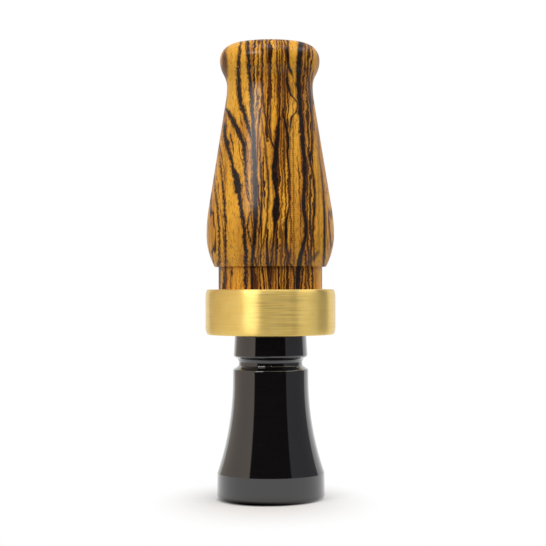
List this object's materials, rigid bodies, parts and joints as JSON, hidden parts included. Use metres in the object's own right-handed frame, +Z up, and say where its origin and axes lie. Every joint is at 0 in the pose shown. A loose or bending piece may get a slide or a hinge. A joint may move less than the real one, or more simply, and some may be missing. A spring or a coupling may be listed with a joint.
{
  "type": "duck call",
  "caption": "Turned wooden duck call barrel with a brass band, on a flared acrylic insert that holds double reeds on a tone board.",
  "frame": {"origin": "on the floor at the centre of the bell's rim, with the call standing on its bell", "axes": "+Z up along the call's axis towards the mouthpiece lip; the tone board faces -Y; +X completes the frame"},
  "size_m": [0.035, 0.035, 0.1226],
  "materials": {
    "bocote": "satin-gloss lacquered bocote",
    "brass": "lathe-brushed satin",
    "acrylic": "polished black acrylic",
    "o_ring": "matte black nitrile",
    "mylar": "frosted translucent film",
    "cork": "bare cork"
  },
  "bodies": {
    "insert": {"insert": "acrylic"},
    "seal_rings": {"rear_o_ring": "o_ring", "front_o_ring": "o_ring"},
    "barrel": {"barrel": "bocote", "barrel_band": "brass"},
    "wedge": {"wedge_cork": "cork"},
    "upper_reed": {"upper_reed": "mylar"},
    "lower_reed": {"lower_reed": "mylar"}
  },
  "joints": [
    {"name": "barrel_twist", "type": "hinge", "parent": "insert", "child": "seal_rings", "pos_m": [0, 0, 0.05], "axis": [0, 0, 1], "continuous": true},
    {"name": "barrel_pull", "type": "slide", "parent": "seal_rings", "child": "barrel", "axis": [0, 0, 1], "range_m": [0, 0.066]},
    {"name": "wedge_pull", "type": "slide", "parent": "insert", "child": "wedge", "axis": [0, 0, 1], "range_m": [0, 0.012]},
    {"name": "upper_reed_flex", "type": "hinge", "parent": "insert", "child": "upper_reed", "pos_m": [0, -0.0015, 0.0725], "axis": [-1, 0, 0], "range_deg": [0, 2.4], "stiffness_Nm_per_rad": 0.0045, "deforming": ["upper_reed"]},
    {"name": "lower_reed_flex", "type": "hinge", "parent": "insert", "child": "lower_reed", "pos_m": [0, -0.0013, 0.0725], "axis": [-1, 0, 0], "range_deg": [0, 2.4], "stiffness_Nm_per_rad": 0.0045, "deforming": ["lower_reed"]}
  ],
  "couplings": [
    {"joint": "lower_reed_flex", "follows": "upper_reed_flex", "ratio": 1}
  ]
}
